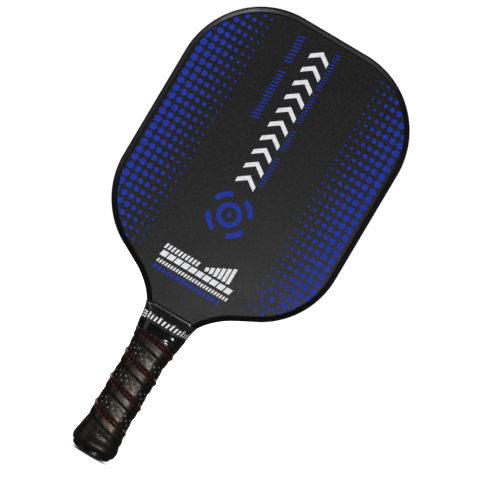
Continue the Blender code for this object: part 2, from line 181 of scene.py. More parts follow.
def inset_of(points):
    """Distance of (x, z) points from the paddle's edge, negative outside it."""
    ends = np.roll(EDGE, -1, axis=0)
    along = ends - EDGE
    offset = points[:, None, :] - EDGE[None]
    share = np.clip((offset * along).sum(2) / (along**2).sum(1), 0, 1)
    nearest = np.linalg.norm(offset - share[..., None] * along, axis=2).min(1)
    height = points[:, 1:2]
    crosses = (EDGE[:, 1] > height) != (ends[:, 1] > height)
    rise = np.where(along[:, 1] == 0, 1.0, along[:, 1])
    at_x = EDGE[:, 0] + (height - EDGE[:, 1]) * along[:, 0] / rise
    inside = (crosses & (at_x > points[:, 0:1])).sum(1) % 2 == 1
    return np.where(inside, nearest, -nearest)


# The handle's octagon

SIDES = 8
SIDE_TURN = math.radians(45.0)
NECK_MARGIN = 10 * MM  # how far above the guard's ends the neck's widths are needed
NECK = outline_half(PANEL_INSET)[::-1]
NECK = NECK[NECK[:, 1] < GUARD_END + NECK_MARGIN]


def corner_centres(z):
    """Centres of the eight corner fillets at each height, and the fillet's radius."""
    half_x = np.interp(z, NECK[:, 1], NECK[:, 0])
    half_y = np.interp(z, SHOULDER, HANDLE_DEPTHS)
    chamfer = half_y - SIDE_FLAT_HALF
    fillet = np.minimum(HANDLE_FILLET, 1.5 * chamfer)
    diagonal = (half_x + half_y - chamfer) / math.sqrt(2)
    reach = np.stack([half_x, diagonal, half_y, diagonal] * 2) - fillet
    centres = []
    for side in range(SIDES):
        near, far = reach[side], reach[(side + 1) % SIDES]
        low, high = side * SIDE_TURN, (side + 1) * SIDE_TURN
        x = near * math.sin(high) - far * math.sin(low)
        y = far * math.cos(low) - near * math.cos(high)
        centres.append(np.stack([x, y], -1) / math.sin(SIDE_TURN))
    return np.stack(centres), fillet


def girth_parts(offset):
    """Where each flat and each corner begins along the girth, from the start of the +X flat."""
    centres, fillet = corner_centres(np.array([MID_HANDLE]))
    lengths = []
    for side in range(SIDES):
        lengths.append(float(np.linalg.norm(centres[side, 0] - centres[side - 1, 0])))
        lengths.append(float(fillet[0] + offset) * SIDE_TURN)
    return np.concatenate([[0.0], np.cumsum(lengths)])


PARTS = girth_parts(WRAP_OFFSET)
GIRTH = PARTS[-1]
# 1 where the back flat (part 4) and the front flat (part 12) begin and end, with their corners.
FACING_PARTS = np.isin(np.arange(2 * SIDES + 1), (3, 4, 5, 6, 11, 12, 13, 14)).astype(float)
SOFT_STEPS = np.linspace(-2.0, 2.0, 17)
SOFT_WEIGHTS = np.exp(-(SOFT_STEPS**2) / 2) / np.exp(-(SOFT_STEPS**2) / 2).sum()
FRONT = (PARTS[12] + PARTS[13]) / 2  # place along the girth of the middle of the front flat


def facing(place):
    """1 on the front and back flats, 0 on the side flats, and in between on the slanting ones."""
    return np.interp((place + FRONT) % GIRTH, PARTS, FACING_PARTS)


def wrapped(place, z, offset):
    """Points (x, y) at this offset from the bare handle, whose corners keep their own fillets."""
    along = (place + FRONT) % GIRTH
    part = np.clip(np.searchsorted(PARTS, along, side="right") - 1, 0, 2 * SIDES - 1)
    share = (along - PARTS[part]) / (PARTS[part + 1] - PARTS[part])
    side, on_corner = part // 2, part % 2 == 1
    centres, fillet = corner_centres(z)
    index = np.arange(len(z))
    after, before = centres[side, index], centres[(side - 1) % SIDES, index]
    centre = np.where(on_corner[:, None], after, before + (after - before) * share[:, None])
    angle = SIDE_TURN * (side + np.where(on_corner, share, 0.0))
    crown = CROWN * np.where(on_corner, 0.0, 1 - (2 * share - 1) ** 2)
    return centre + (fillet + offset + crown)[:, None] * np.stack([np.cos(angle), np.sin(angle)], -1)


def around(place, z, offset):
    """Points (x, y, z) at a place along the girth from the front's middle, a height and an offset."""
    place, z, offset = (a.ravel() for a in np.broadcast_arrays(place, z, offset))
    reach = SOFTENING * np.clip(offset / WRAP_OFFSET, 0.0, 1.0)
    shifts = zip(SOFT_STEPS, SOFT_WEIGHTS)
    flat = sum(weight * wrapped(place + step * reach, z, offset) for step, weight in shifts)
    return np.column_stack([flat, z])


# Materials

class Look:
    """A Principled material with short calls for the nodes that its detail is made of."""

    def __init__(self, name, roughness=0.5, **settings):
        self.material = bpy.data.materials.new(name)
        self.material.use_nodes = True
        self.tree = self.material.node_tree
        self.shader = self.tree.nodes["Principled BSDF"]
        self.shader.inputs["Roughness"].default_value = roughness
        for socket, value in settings.items():
            self.shader.inputs[socket.replace("_", " ")].default_value = value
        self.place = self.add("ShaderNodeTexCoord").outputs["Object"]

    def add(self, kind, **properties):
        node = self.tree.nodes.new(kind)
        for key, value in properties.items():
            setattr(node, key, value)
        return node

    def join(self, source, target):
        if isinstance(source, bpy.types.NodeSocket):
            self.tree.links.new(source, target)
        else:
            target.default_value = source

    def math(self, operation, *values):
        node = self.add("ShaderNodeMath", operation=operation)
        for socket, value in zip(node.inputs, values):
            self.join(value, socket)
        return node.outputs[0]

    def stretched(self, scale):
        node = self.add("ShaderNodeMapping")
        self.join(self.place, node.inputs["Vector"])
        node.inputs["Scale"].default_value = scale
        return node.outputs[0]

    def noise(self, scale, detail=3.0, vector=None):
        node = self.add("ShaderNodeTexNoise")
        self.join(vector or self.place, node.inputs["Vector"])
        node.inputs["Scale"].default_value = scale
        node.inputs["Detail"].default_value = detail
        return node.outputs["Fac"]

    def cells(self, scale, feature="F1", vector=None):
        node = self.add("ShaderNodeTexVoronoi", feature=feature)
        self.join(vector or self.place, node.inputs["Vector"])
        node.inputs["Scale"].default_value = scale
        return node.outputs["Distance"]

    def between(self, value, low, high, to_low=0.0, to_high=1.0):
        node = self.add("ShaderNodeMapRange", interpolation_type="SMOOTHSTEP")
        for socket, number in zip(node.inputs, (value, low, high, to_low, to_high)):
            self.join(number, socket)
        return node.outputs[0]

    def blend(self, share, first, second):
        node = self.add("ShaderNodeMix", data_type="RGBA")
        self.join(share, node.inputs[0])
        for socket, colour in ((node.inputs[6], first), (node.inputs[7], second)):
            self.join(colour if isinstance(colour, bpy.types.NodeSocket) else (*colour, 1.0), socket)
        return node.outputs[2]

    def colour(self, source):
        self.join(source, self.shader.inputs["Base Color"])

    def rough(self, source):
        self.join(source, self.shader.inputs["Roughness"])

    def relief(self, *heights):
        """Bumps, one after another, from (height, depth in metres)."""
        normal = None
        for height, depth in heights:
            node = self.add("ShaderNodeBump")
            node.inputs["Distance"].default_value = depth
            self.join(height, node.inputs["Height"])
            if normal is not None:
                self.join(normal, node.inputs["Normal"])
            normal = node.outputs[0]
        self.join(normal, self.shader.inputs["Normal"])


def sheet_relief(look):
    """The fine cast grain of the painted face, shared by the print on it."""
    grain = look.noise(1500.0, 4.0)
    pits = look.between(look.cells(900.0), 0.05, 0.35)
    look.relief((grain, 0.05 * MM), (pits, 0.012 * MM))
    return grain


def face_look():
    look = Look("face_composite", Specular_IOR_Level=0.34)
    grain = sheet_relief(look)
    mottle = look.noise(430.0, 2.5)
    tone = look.math("MULTIPLY_ADD", grain, 0.3, look.math("MULTIPLY", mottle, 0.7))
    tone = look.between(tone, 0.42, 0.58)
    look.colour(look.blend(tone, (0.0008, 0.0008, 0.0020), (0.0092, 0.0092, 0.0122)))
    look.rough(look.between(look.noise(40.0, 4.0), 0.3, 0.7, 0.41, 0.47))
    return look.material


def print_look(name, pale, deep, roughness):
    look = Look(name, Specular_IOR_Level=0.25)
    grain = sheet_relief(look)
    wear = look.between(look.noise(420.0, 6.0), 0.30, 0.62)
    tone = look.math("MULTIPLY_ADD", grain, 0.5, look.math("MULTIPLY", wear, 0.5))
    look.colour(look.blend(look.between(tone, 0.3, 0.62), deep, pale))
    look.rough(look.between(look.noise(60.0, 3.0), 0.3, 0.7, roughness - 0.05, roughness + 0.06))
    return look.material


def moulded_look(name, scuffs, deep, pale, mottle, roughness, grain, depth):
    """Black moulded plastic with scuffs: scale, detail and range of each noise."""
    look = Look(name, Specular_IOR_Level=0.5)
    scuff = look.between(look.noise(*scuffs[:2]), *scuffs[2:])
    look.colour(look.blend(scuff, deep, pale))
    look.rough(look.between(look.noise(mottle, 4.0), 0.3, 0.7, *roughness))
    look.relief((look.noise(grain, 3.0), depth))
    return look.material


def grip_look():
    """Synthetic leather with a pebbled grain. Above the cap, its perforations are pale."""
    look = Look("grip_leather", Specular_IOR_Level=0.5, Specular_Tint=(1.0, 0.87, 0.75, 1.0))
    strip = look.add("ShaderNodeUVMap", uv_map="strip").outputs[0]
    parts = look.add("ShaderNodeSeparateXYZ")
    look.join(strip, parts.inputs[0])
    along, across = parts.outputs[0], parts.outputs[1]
    row = look.math("DIVIDE", look.math("SUBTRACT", across, HOLE_FIRST_ROW), HOLE_ROW_PITCH)
    row = look.math("MINIMUM", look.math("MAXIMUM", look.math("ROUND", row), 0.0), HOLE_ROWS - 1.0)
    odd = look.math("MODULO", row, 2.0)
    row_across = look.math("MULTIPLY_ADD", row, HOLE_ROW_PITCH, HOLE_FIRST_ROW)
    from_row = look.math("SUBTRACT", across, row_across)
    run = look.math("SUBTRACT", along, look.math("MULTIPLY_ADD", row_across, HOLE_SHEAR, HOLE_START))
    stagger = look.math("MULTIPLY_ADD", odd, 0.5, -0.5)
    lattice = look.math("FRACT", look.math("SUBTRACT", look.math("DIVIDE", run, HOLE_PITCH), stagger))
    from_hole = look.math("MULTIPLY", look.math("SUBTRACT", lattice, 0.5), HOLE_PITCH)
    squares = look.math("ADD", look.math("POWER", from_row, 2.0), look.math("POWER", from_hole, 2.0))
    hole = look.between(look.math("SQRT", squares), HOLE_RADIUS, 0.7 * HOLE_RADIUS)
    place = look.add("ShaderNodeSeparateXYZ")
    look.join(look.place, place.inputs[0])
    above_cap = look.between(place.outputs[2], 24 * MM, 31 * MM)
    # The perforations are pale above the cap and dark below it.
    hole_tone = look.blend(above_cap, (0.006, 0.006, 0.006), (0.84, 0.76, 0.70))
    pebble = look.cells(1150.0, "SMOOTH_F1")
    crease = look.noise(520.0, 5.0)
    drag = look.noise(300.0, 4.0, look.stretched((0.35, 0.35, 1.6)))
    tone = look.between(look.math("MULTIPLY_ADD", pebble, 0.6, look.math("MULTIPLY", crease, 0.6)), 0.3, 0.8)
    leather = look.blend(tone, (0.0030, 0.0028, 0.0027), (0.0110, 0.0100, 0.0092))
    look.colour(look.blend(hole, leather, hole_tone))
    look.rough(look.between(drag, 0.3, 0.7, 0.27, 0.38))
    look.relief((pebble, 0.03 * MM), (crease, 0.04 * MM), (look.math("SUBTRACT", 1.0, hole), 0.25 * MM))
    return look.material


def thread_look():
    look = Look("stitch_thread", roughness=0.55, Specular_IOR_Level=0.3)
    wave = look.add("ShaderNodeTexWave", wave_type="BANDS", bands_direction="DIAGONAL")
    look.join(look.place, wave.inputs["Vector"])
    wave.inputs["Scale"].default_value = 900.0
    wave.inputs["Distortion"].default_value = 1.5
    twist_and_groove_shade = wave.outputs["Fac"]
    # The colour darkens along the low bands of the twist: painted shade in the grooves between the thread's
    # strands. The same bands give the thread its relief.
    look.colour(look.blend(twist_and_groove_shade, (0.090, 0.0020, 0.0080), (0.240, 0.0060, 0.0220)))
    look.relief((twist_and_groove_shade, 0.05 * MM))
    return look.material


def vinyl_look(name, roughness, wrinkle, shine, pale):
    """Black film with stretch marks; wrinkle is their depth, pale the grey of its lighter mottle."""
    look = Look(name, Specular_IOR_Level=shine)
    pull = look.noise(85.0, 3.0, look.stretched((1.0, 1.0, 3.2)))
    speck = look.noise(1900.0, 2.0)
    look.colour(look.blend(look.noise(300.0, 4.0), (0.0042, 0.0042, 0.0043), (pale, pale, pale)))
    look.rough(look.between(look.noise(210.0, 4.0), 0.3, 0.7, roughness - 0.03, roughness + 0.06))
    look.relief((pull, wrinkle), (speck, 0.004 * MM))
    return look.material


def hidden_look(name, pale, deep, scale, depth, roughness, stretch=(1.0, 1.0, 1.0), **settings):
    """Materials of the pieces inside: cellular or fibrous relief with a mottled colour."""
    look = Look(name, roughness, **settings)
    vector = look.stretched(stretch)
    structure = look.cells(scale, "F1", vector)
    look.colour(look.blend(look.noise(scale / 3, 4.0, vector), deep, pale))
    look.rough(look.between(structure, 0.1, 0.7, roughness - 0.08, roughness + 0.08))
    look.relief((structure, depth))
    return look.material


# Grip layout, in the strip's own measures: along it, and across it from the rib's middle.
GRIP_PITCH = 24.6 * MM
RIB_AT_FRONT = 35.0 * MM
RIB_SWAY = 0.45 * MM
STRIP_LOW = -9.9 * MM
STRIP_HIGH = 14.45 * MM
GRIP_THICKNESS = 2.0 * MM
GRIP_BOTTOM = 5.3 * MM
GRIP_TOP = 118.0 * MM
RIB_START = 26.0 * MM
RIB_END = 112.5 * MM
RIB_LEVELS_AT = 108.8 * MM
RIB_HALF_WIDTH = 1.5 * MM
HOLE_RADIUS = 0.62 * MM
HOLE_DEPTH = 0.30 * MM
HOLE_FIRST_ROW = 5.85 * MM
HOLE_ROW_PITCH = 2.5 * MM
HOLE_ROWS = 3
HOLE_PITCH = (GIRTH + 1.6 * MM) / 15
HOLE_SHEAR = 0.23  # how far the perforations run on along the strip for each step across it
HOLE_START = 0.15 * MM
HOLE_STEPS = (-0.66, -0.4, -0.13, 0.13, 0.4, 0.66)  # mm from a perforation's middle
STITCH_ROW = 2.0 * MM
RIB_HEIGHT = 1.15 * MM
RIB_FADE = 4 * MM
SEAM_DEPTH = 0.38 * MM
SEAM_HALF_WIDTH = 0.5 * MM
LAP_RISE = 0.42 * MM
TUCK_DEPTH = 0.7 * MM
TUCK_WIDTH = 6.0 * MM
SHORTEST_END = 2.5 * MM  # width left at the strip's two slanting ends
# The grip's distance from the handle over the cap: height, at the sides, at the front and back.
FLARE = (
    (4.0, 0.3, 0.4), (5.3, 1.15, 1.35), (6.5, 1.95, 2.0), (7.5, 2.3, 2.42), (8.5, 2.5, 2.66),
    (9.4, 2.68, 2.73), (10.3, 2.79, 2.7), (11.1, 2.84, 2.59), (12.0, 2.82, 2.37), (13.5, 2.68, 1.88),
    (15.4, 2.32, 1.2), (16.2, 2.18, 1.02), (17.0, 2.03, 0.94), (19.0, 1.64, 0.82), (20.0, 1.45, 0.7),
    (21.0, 1.35, 0.53), (22.5, 1.14, 0.3), (24.0, 0.8, 0.12), (26.0, 0.4, 0.02), (27.0, 0.3, 0.0),
    (30.0, 0.12, 0.0), (34.0, 0.0, 0.0),
)


def flare_at(z, place):
    """FLARE at each height, eased over 1.4 mm."""
    heights, at_sides, at_front = np.array(FLARE).T * MM
    near = np.array([-0.7, 0.0, 0.7])[:, None, None] * MM + np.atleast_2d(z)
    sides = np.interp(near, heights, at_sides).mean(0)
    front = np.interp(near, heights, at_front).mean(0)
    return (sides + (front - sides) * facing(np.atleast_2d(place))).reshape(np.shape(z))


def rib_height(place):
    """Height of the rib's line at a place along the girth, which winds down to the right."""
    turns = place / GIRTH
    return RIB_AT_FRONT - GRIP_PITCH * turns - RIB_SWAY * np.sin(2 * math.pi * turns)


def rib_shift(height):
    """How far the rib's last turn sinks to run out level below the tape."""
    return -0.65 * np.maximum(height - RIB_LEVELS_AT, 0.0)


def grip_point(place, across, out):
    """Point of the strip at a distance out from its inner surface; only the rib's part levels out."""
    height = rib_height(place)
    window = 1 - smooth_step(np.abs(across), 3.2 * MM, 11.0 * MM)
    z = height + across + rib_shift(height) * window
    return around(place, z, GAP + flare_at(z, place) + out)


def strip_relief(place, across):
    """Distance of the strip's outer surface from its inner one."""
    height = rib_height(place) + rib_shift(rib_height(place))
    fade = smooth_step(height, RIB_START, RIB_START + RIB_FADE)
    fade = fade * (1 - smooth_step(height, RIB_END - RIB_FADE, RIB_END))
    arch = np.clip(np.cos(across / RIB_HALF_WIDTH * math.pi / 2), 0, 1) * (np.abs(across) < RIB_HALF_WIDTH)
    rib = RIB_HEIGHT * arch**0.8
    seam = SEAM_DEPTH * np.exp(-(((np.abs(across) - STITCH_ROW) / SEAM_HALF_WIDTH) ** 2))
    lapped = LAP_RISE * (1 - smooth_step(across, STRIP_LOW + 0.8 * MM, STRIP_LOW + 7.0 * MM))
    rounded = 0.35 * MM * (1 - smooth_step(across, STRIP_LOW, STRIP_LOW + 0.8 * MM))
    rounded += 0.65 * MM * (1 - smooth_step(across, STRIP_LOW - 1.0 * MM, STRIP_LOW + 3.6 * MM))
    tucked = TUCK_DEPTH * smooth_step(across, STRIP_HIGH - TUCK_WIDTH, STRIP_HIGH)
    z = rib_height(place) + across
    lowest = 0.55 * MM * (1 - smooth_step(z, GRIP_BOTTOM, GRIP_BOTTOM + 1.1 * MM))
    pull = 0.05 * MM * ripple(place / (9 * MM), across / (4 * MM), 5)
    surface = GRIP_THICKNESS + fade * (rib - seam) + lapped - rounded - tucked - lowest + pull
    row = np.clip(np.round((across - HOLE_FIRST_ROW) / HOLE_ROW_PITCH), 0, HOLE_ROWS - 1)
    row_across = HOLE_FIRST_ROW + row * HOLE_ROW_PITCH
    from_row = across - row_across
    run = (place - HOLE_START - HOLE_SHEAR * row_across) / HOLE_PITCH
    from_hole = ((run - 0.5 * (row % 2) + 0.5) % 1.0 - 0.5) * HOLE_PITCH
    hole = 1 - smooth_step(np.hypot(from_row, from_hole), 0.55 * HOLE_RADIUS, 1.15 * HOLE_RADIUS)
    return surface - HOLE_DEPTH * hole


def strip_stations():
    """Places along the strip, closer together where its perforations are."""
    cell = HOLE_PITCH / 2
    within = np.array([*HOLE_STEPS, 1.15, 1.75, 2.35]) * MM * cell / (3.6 * MM)
    first = (RIB_AT_FRONT - GRIP_TOP + STRIP_LOW) / GRIP_PITCH * GIRTH
    last = (RIB_AT_FRONT - GRIP_BOTTOM + STRIP_HIGH) / GRIP_PITCH * GIRTH
    middles = np.arange(math.ceil(first / cell) - 1, math.floor(last / cell) + 2) * cell + HOLE_START
    return (middles[:, None] + within).ravel()


def across_at(place, z):
    """How far across the strip each of its sheared cross-sections reaches a height."""
    across = z - rib_height(place)
    for _ in range(5):
        across = z - rib_height(place + HOLE_SHEAR * across)
    return across


def strip_courses():
    """Places across the strip's outer surface, closer at its edge, rib, seams and perforations."""
    edge = STRIP_LOW / MM + np.array([0.0, 0.14, 0.32, 0.6, 1.1, 1.9, 2.9, 4.0, 5.2, 6.3])
    rib = np.arange(-3.0, 3.01, 0.3)
    rows = HOLE_FIRST_ROW / MM + HOLE_ROW_PITCH / MM * np.arange(HOLE_ROWS)
    holes = (rows[:, None] + HOLE_STEPS).ravel()
    between = [3.6, 4.4, 7.1, 9.6, 12.1, 12.9, 13.7, STRIP_HIGH / MM]
    return np.sort(np.concatenate([edge, rib, holes, between])) * MM


def make_grip(material):
    """The strip as one closed helical solid, with a groove for the bead inside its rib."""
    places, courses = strip_stations(), strip_courses()
    inner = np.array([17.4, 14.0, 8.0, 1.3, 0.8, -0.8, -1.3, -4.0, -6.9]) * MM
    groove = np.array([0.0, 0.0, 0.0, 0.0, 1.75, 1.75, 0.0, 0.0, 0.0]) * MM
    lowest, highest = across_at(places, GRIP_BOTTOM), across_at(places, GRIP_TOP)
    kept = (np.minimum(highest, courses[-1]) - np.maximum(lowest, courses[0])) > SHORTEST_END
    places, lowest, highest = places[kept], lowest[kept], highest[kept]
    sliver = 0.004 * MM

    def clipped(values, ascending):
        rank = np.arange(len(values)) if ascending else np.arange(len(values))[::-1]
        low = lowest[:, None] + sliver * rank
        high = highest[:, None] - sliver * rank[::-1]
        return np.minimum(np.maximum(values[None], low), high)

    outer_across, inner_across = clipped(courses, True), clipped(inner, False)
    spread = places[:, None] + HOLE_SHEAR * outer_across
    outer = grip_point(spread, outer_across, strip_relief(spread, outer_across))
    fade = smooth_step(rib_height(places), RIB_START, RIB_START + RIB_FADE)
    spread_in = places[:, None] + HOLE_SHEAR * inner_across
    inside = grip_point(spread_in, inner_across, fade[:, None] * groove)
    rings = np.concatenate([part.reshape(len(places), -1, 3) for part in (outer, inside)], axis=1)
    columns = rings.shape[1]
    along = np.concatenate([spread, spread_in], 1)
    uv = np.stack([along, np.concatenate([outer_across, inner_across], 1)], -1).reshape(-1, 2)
    faces = grid_faces(len(places), columns, wrap_columns=True)
    last = (len(places) - 1) * columns
    faces += [list(range(columns)), [last + i for i in range(columns)][::-1]]
    points = rings.reshape(-1, 3)
    strip = piece("grip_wrap", points, faces, material, ["grip_strip"], 32, uv)


def make_stitches(material):
    """Each row shows as separate stitches that dip into the leather at both ends."""
    pitch, half_length, radius, sides = 4.0 * MM, 1.3 * MM, 0.42 * MM, 10
    lift = 0.30 * MM
    first = math.ceil((RIB_AT_FRONT - RIB_END) / GRIP_PITCH * GIRTH / pitch) + 1
    last = (RIB_AT_FRONT - RIB_START) / GRIP_PITCH * GIRTH / pitch - 1
    places = np.arange(first, last) * pitch
    along = np.array([-1.0, -0.93, -0.75, -0.4, 0.0, 0.4, 0.75, 0.93, 1.0])
    girth = np.array([0.12, 0.55, 0.9, 1.0, 1.0, 1.0, 0.9, 0.55, 0.12]) * radius
    sink = np.array([0.55, 0.42, 0.2, 0.03, 0.0, 0.03, 0.2, 0.42, 0.55]) * MM
    turn = np.arange(sides) / sides * 2 * math.pi
    tube = grid_faces(len(along), sides, wrap_columns=True)
    rows = []
    for name, row in (("upper_stitches", STITCH_ROW), ("lower_stitches", -STITCH_ROW)):
        points, faces = [], []
        for number, place in enumerate(places):
            jitter = 0.12 * MM * math.sin(3.7 * number + 40 * row)
            across = row + jitter * 0.5 + np.outer(girth, np.sin(turn))
            out = GRIP_THICKNESS - SEAM_DEPTH + lift - sink[:, None] + np.outer(girth, np.cos(turn)) * 0.85
            spread = np.repeat((place + jitter + along * half_length)[:, None], sides, 1)
            start = len(points) * sides * len(along)
            points.append(grip_point(spread, across, out))
            faces += [[start + i for i in quad] for quad in tube]
            end = start + sides * (len(along) - 1)
            faces += [[start + i for i in range(sides)], [end + i for i in range(sides)][::-1]]
        replaced = [name.replace("stitches", "stitch_thread")]
        rows.append(piece(name, np.vstack(points), faces, material, replaced, 60))
    return rows


# Edge guard

# Half of the guard's U: how far inside the outline, and how far from the panel's middle plane.
GUARD_HALF_SECTION = (
    (1.6, 0.0), (1.6, 7.1), (1.75, 7.25), (4.75, 7.25), (4.9, 7.35), (4.93, 7.6), (4.87, 7.95),
    (4.79, 8.2), (4.69, 8.31), (4.56, 8.35), (4.40, 8.33), (1.7, 7.70), (1.40, 7.60), (1.08, 7.38),
    (0.68, 6.98), (0.34, 6.45), (0.12, 5.75), (0.02, 4.9), (0.0, 3.6), (0.0, 1.5),
)
GUARD_STEP = 6 * MM


def make_guard(material):
    """The section swept along the outline, and cut level at its two ends."""
    right = outline_half(0.0)
    right = right[right[:, 1] > TAPER_END]
    path = np.vstack([right[:0:-1] * (-1, 1), right])
    dense = [path[0]]
    for start, end in zip(path[:-1], path[1:]):
        steps = max(1, round(np.linalg.norm(end - start) / GUARD_STEP))
        dense += [start + (end - start) * step / steps for step in range(1, steps + 1)]
    path = np.array(dense)
    tangent = np.gradient(path, axis=0)
    tangent /= np.linalg.norm(tangent, axis=1)[:, None]
    inward = np.stack([tangent[:, 1], -tangent[:, 0]], -1)
    upper = [(inset, -y) for inset, y in GUARD_HALF_SECTION]
    lower = [(inset, y) for inset, y in GUARD_HALF_SECTION[:0:-1]]
    section = np.array(upper + lower) * MM
    flat = path[:, None] + section[None, :, :1] * inward[:, None]
    depth = np.broadcast_to(section[:, 1], flat.shape[:2])
    points = np.stack([flat[..., 0], depth, flat[..., 1]], -1)
    rows, columns = points.shape[:2]
    mesh = bpy.data.meshes.new("guard_blank")
    faces = grid_faces(rows, columns, wrap_columns=True)
    faces += [list(range(columns)), list(range((rows - 1) * columns, rows * columns))[::-1]]
    mesh.from_pydata(points.reshape(-1, 3).tolist(), [], faces)
    solid = bmesh.new()
    solid.from_mesh(mesh)
    everything = list(solid.verts) + list(solid.edges) + list(solid.faces)
    level = {"plane_co": (0, 0, GUARD_END), "plane_no": (0, 0, 1)}
    bmesh.ops.bisect_plane(solid, geom=everything, clear_inner=True, **level)
    bmesh.ops.holes_fill(solid, edges=[edge for edge in solid.edges if edge.is_boundary])
    solid.verts.ensure_lookup_table()
    solid.verts.index_update()
    cut_points = [tuple(vertex.co) for vertex in solid.verts]
    cut_faces = [[vertex.index for vertex in face.verts] for face in solid.faces]
    solid.free()
    bpy.data.meshes.remove(mesh)
    piece("guard_strip", cut_points, cut_faces, material, ["edge_guard"], 38)


# Butt cap, collar and tape

def ring(z, offset, count):
    return around(np.arange(count) / count * GIRTH, z, offset)


def stacked(name, rings, material, replaced, closed_path, smooth_angle):
    """A skin over rings of points, closed by flat ends or back onto its first ring."""
    rows, columns = len(rings), len(rings[0])
    faces = grid_faces(rows, columns, closed_path, True)
    if not closed_path:
        faces += [list(range(columns)), list(range((rows - 1) * columns, rows * columns))[::-1]]
    piece(name, np.vstack(rings), faces, material, replaced, smooth_angle)


# The cap's end: height, half width, and half depth over the handle's own ratio of depth to width.
CAP_END = (
    (0.0, 3.4, 3.4), (0.35, 3.6, 3.6), (0.42, 4.1, 4.1), (0.42, 6.2, 6.2), (0.3, 6.6, 6.6),
    (0.0, 6.9, 6.9), (0.0, 7.4, 7.4), (0.12, 8.3, 8.3), (0.38, 9.7, 10.0), (0.75, 11.7, 12.2),
    (1.15, 13.6, 14.1), (1.65, 15.2, 15.7), (2.0, 15.85, 16.25), (2.2, 16.15, 16.45),
    (2.45, 16.45, 16.58), (2.75, 16.7, 16.59), (3.05, 16.95, 16.55), (3.3, 17.1, 16.47),
    (3.7, 17.35, 16.25), (4.0, 17.5, 16.25), (4.5, 17.7, 16.9), (4.8, 17.72, 17.3), (5.0, 17.5, 17.3),
    (5.1, 17.0, 17.2),
)
CAP_ROUNDNESS = 0.17  # how much shallower the cap's end is at its sides
# The skirt under the grip: height, and distance from the handle.
CAP_SKIRT = ((5.1, 1.1), (8.0, 1.9), (11.5, 1.5), (15.0, 0.85), (18.0, 0.7), (20.0, 0.5))
CAP_FLOOR_TOP = 4.3 * MM
CAP_TOP = 20.0 * MM


def make_cap(material):
    """A domed, flared cap with a ring-shaped recess in its end, and a skirt under the grip."""
    count = 160
    base = ring(MID_HANDLE, WRAP_OFFSET, count)[:, :2]
    base /= base[:, 0].max()
    base[:, 1] *= 1 - CAP_ROUNDNESS * base[:, 0] ** 2
    rings = []
    for z, half_width, half_depth in CAP_END:
        rings.append(np.column_stack([base * (half_width * MM, half_depth * MM), np.full(count, z * MM)]))
    rings += [ring(z * MM, offset * MM, count) for z, offset in CAP_SKIRT]
    rings += [ring(CAP_TOP, GAP, count), ring(CAP_FLOOR_TOP, GAP, count)]
    stacked("cap_shell", rings, material, ["butt_cap"], False, 28)


# The hem at the front: height and depth from the panel's middle; then its height and trim at the sides.
COLLAR_HEM = (
    (133.7, 10.64, 133.7, 0.0), (133.95, 10.69, 133.85, 0.0), (134.5, 10.73, 134.0, 0.02),
    (135.0, 10.75, 134.15, 0.06), (135.4, 10.74, 134.3, 0.14), (135.65, 10.5, 134.42, 0.25),
    (135.95, 9.6, 134.5, 0.4), (136.3, 8.3, 134.57, 0.6), (136.65, 7.03, 134.6, 0.9),
    (136.0, 6.99, 134.6, 1.3), (134.9, 7.3, 134.58, 1.7),
)
# How much thicker the collar is at the front and back than at its sides, by height.
COLLAR_EXTRA_HEIGHTS = np.array([120.0, 122.6, 127.5]) * MM
COLLAR_EXTRA = np.array([1.02, 0.66, 0.0]) * MM
COLLAR_FOOT = 120.16 * MM
COLLAR_HEM_START = 133.4 * MM


def collar_thickness(z, place):
    """The collar thins upwards, and more so at the front and back."""
    extra = np.interp(z, COLLAR_EXTRA_HEIGHTS, COLLAR_EXTRA) * facing(place)
    return np.interp(z, (127.5 * MM, 134.6 * MM), (2.1 * MM, 1.7 * MM)) + extra


def collar_wrinkle(place, z):
    return 0.03 * MM * ripple(place / (11 * MM), z / (5 * MM), 21)


def make_collar(material):
    """Printed heat-shrunk collar: level round the handle, then sloping up onto the face to its hem."""
    count = 300
    heights = np.concatenate([(119.2, 120.14), np.linspace(120.18, 133.4, 48)]) * MM
    foot = np.where(heights < COLLAR_FOOT, 1.3 * MM, 0.0)
    places = np.arange(count) / count * GIRTH
    rings = []
    for z, trim in zip(heights, foot):
        wrinkle = collar_wrinkle(places, z) * smooth_step(COLLAR_HEM_START - z, 0.0, 2 * MM)
        rings.append(around(places, z, GAP + collar_thickness(z, places) - trim + wrinkle))
    for height, depth, side_height, trim in COLLAR_HEM:
        thickness = collar_thickness(side_height * MM, places)
        side = around(places, side_height * MM, GAP + thickness - trim * MM)
        share = (1 - smooth_step(np.abs(side[:, 0]), 17.0 * MM, 20.0 * MM))[:, None]
        front_y = np.sign(side[:, 1]) * depth * MM
        front = np.column_stack([side[:, 0], front_y, np.full(count, height * MM)])
        rings.append(side + (front - side) * share)
    rings += [around(places, z * MM, GAP) for z in (134.4, 131.0, 127.5, 124.0, 119.2)]
    stacked("collar_sleeve", rings, material, ["collar_band"], True, 35)


# The tape's lower edge across the front: place along the girth, and height.
TAPE_EDGE_PLACES = np.array([-30.0, -18.0, 0.0, 18.0, 30.0]) * MM
TAPE_EDGE_HEIGHTS = np.array([113.0, 112.9, 112.1, 108.2, 107.9]) * MM
TAPE_EDGE_BEHIND = 110.6 * MM


def signed_place(places):
    """Places along the girth, negative to the left of the front's middle."""
    return (places + GIRTH / 2) % GIRTH - GIRTH / 2


def tape_edge(places):
    """Height of the tape's lower edge, which follows the rib under it across the front."""
    place = signed_place(places)
    front = np.interp(place, TAPE_EDGE_PLACES, TAPE_EDGE_HEIGHTS)
    share = smooth_step(np.abs(place), 26 * MM, 44 * MM)
    return front * (1 - share) + TAPE_EDGE_BEHIND * share


